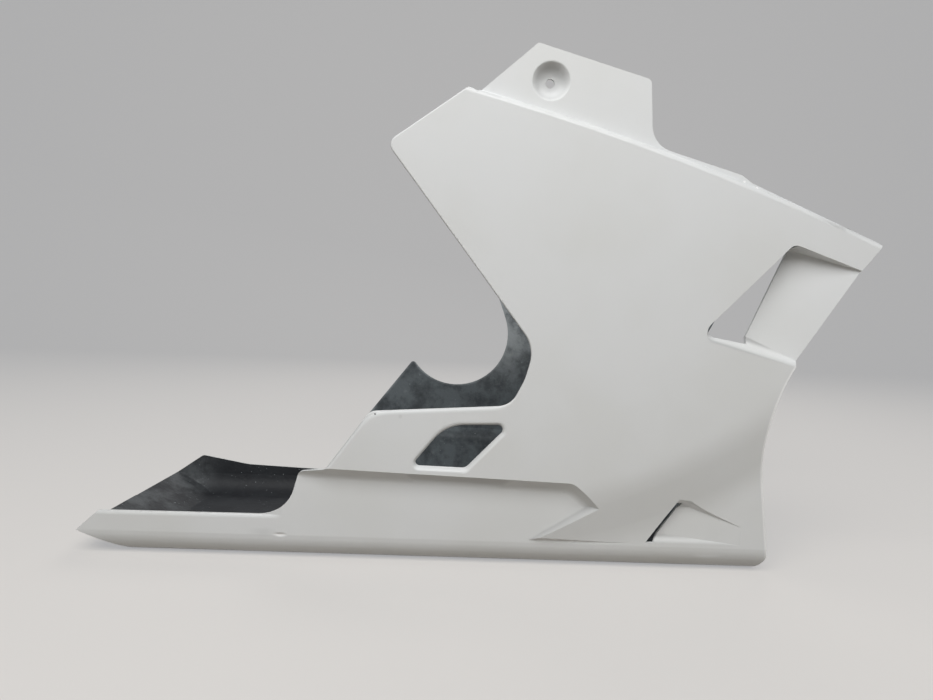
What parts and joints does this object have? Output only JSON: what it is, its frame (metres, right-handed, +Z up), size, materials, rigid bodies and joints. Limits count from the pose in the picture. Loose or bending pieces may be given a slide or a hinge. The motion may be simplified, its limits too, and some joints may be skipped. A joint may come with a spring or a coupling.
{
  "type": "motorcycle belly pan",
  "caption": "One-piece moulded belly pan of a motorcycle: an open white trough with tall side panels, sunken front ducts, side channels and flanges with fastener dimples.",
  "frame": {"origin": "centre of the bounding box, at its bottom, on the flat keel", "axes": "+X forward along the motorcycle, +Y to its left, +Z up"},
  "size_m": [0.8019, 0.3259, 0.5217],
  "materials": {
    "shell": "satin white gelcoat outside, bare dark laminate inside"
  },
  "bodies": {
    "root": {"belly_pan": "shell"}
  },
  "joints": []
}
